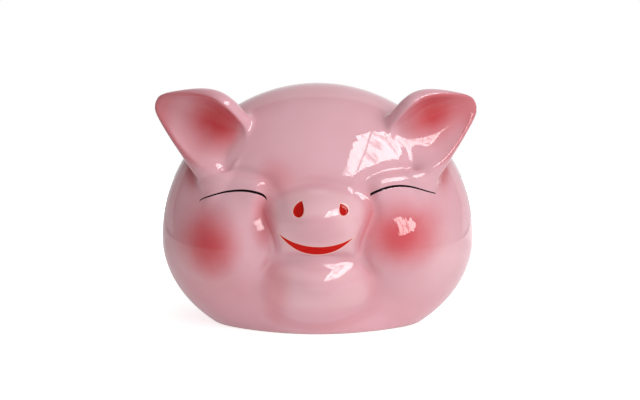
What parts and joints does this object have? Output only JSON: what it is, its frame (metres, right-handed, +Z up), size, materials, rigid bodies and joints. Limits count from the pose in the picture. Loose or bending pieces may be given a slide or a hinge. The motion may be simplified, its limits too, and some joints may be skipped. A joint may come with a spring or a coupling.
{
  "type": "pig head money box figurine",
  "caption": "Hollow glazed pig's head with a smiling face and cupped ears, a coin slot behind the crown and a pull-out bung in its base.",
  "frame": {"origin": "middle of the foot, on the surface that the head stands on", "axes": "+Z up, -Y the way the face looks, +X towards the ear on the right of a viewer facing it"},
  "size_m": [0.1702, 0.1303, 0.1278],
  "materials": {
    "pink_glaze": "high-gloss transparent glaze over pink underglaze with airbrushed red cheeks and ears",
    "soft_rubber": "satin moulded"
  },
  "bodies": {
    "head": {"head_shell": "pink_glaze", "left_ear": "pink_glaze", "right_ear": "pink_glaze"},
    "bung": {"bung": "soft_rubber"}
  },
  "joints": [
    {"name": "bung_pull", "type": "slide", "parent": "head", "child": "bung", "axis": [0, 0, -1], "range_m": [0, 0.03]}
  ]
}
